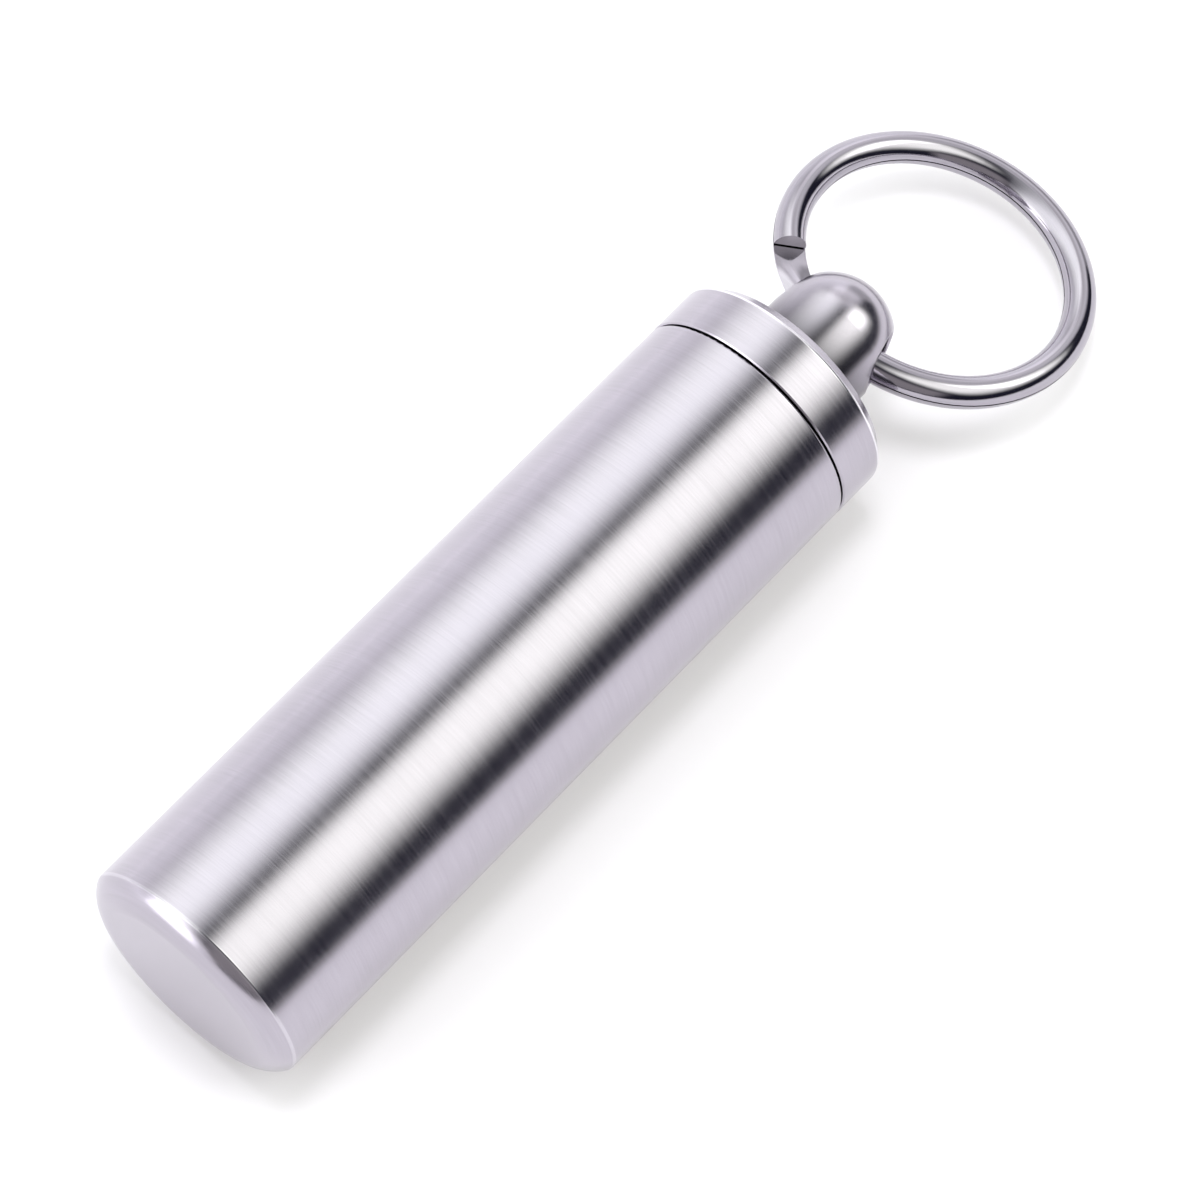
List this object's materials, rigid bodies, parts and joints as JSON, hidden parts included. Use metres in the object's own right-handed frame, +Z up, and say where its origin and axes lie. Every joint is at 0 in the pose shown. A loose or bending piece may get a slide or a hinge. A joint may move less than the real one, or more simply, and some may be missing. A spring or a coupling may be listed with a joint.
{
  "type": "pill fob keychain",
  "caption": "Slim cylindrical metal pill holder with a sealed screw cap, a domed knob with a cross hole and a split ring for keys.",
  "frame": {"origin": "centre of the flat base of the tube", "axes": "+X along the tube from its closed base towards the cap and ring, +Z up as the fob lies on its side"},
  "size_m": [0.0732, 0.0199, 0.015],
  "materials": {
    "brushed_body": "brushed round the axis",
    "brushed_cap": "brushed sides, satin knob",
    "seal_rubber": "matt black",
    "polished_ring": "polished plated steel wire"
  },
  "bodies": {
    "tube": {"tube": "brushed_body"},
    "seal": {"o_ring": "seal_rubber"},
    "cap": {"cap": "brushed_cap"},
    "ring": {"split_ring": "polished_ring"}
  },
  "joints": [
    {"name": "cap_travel", "type": "slide", "parent": "tube", "child": "seal", "axis": [1, 0, 0], "range_m": [0, 0.01505]},
    {"name": "cap_turn", "type": "hinge", "parent": "seal", "child": "cap", "pos_m": [0.04735, 0, 0], "axis": [1, 0, 0], "range_deg": [0, 3600]},
    {"name": "ring_swing", "type": "hinge", "parent": "cap", "child": "ring", "pos_m": [0.05565, 0, 0], "axis": [0, 0.9945, 0.1045], "range_deg": [-158.2, 125.8]}
  ],
  "couplings": [
    {"joint": "cap_travel", "follows": "cap_turn", "m_per_rad": 0.00023873}
  ]
}
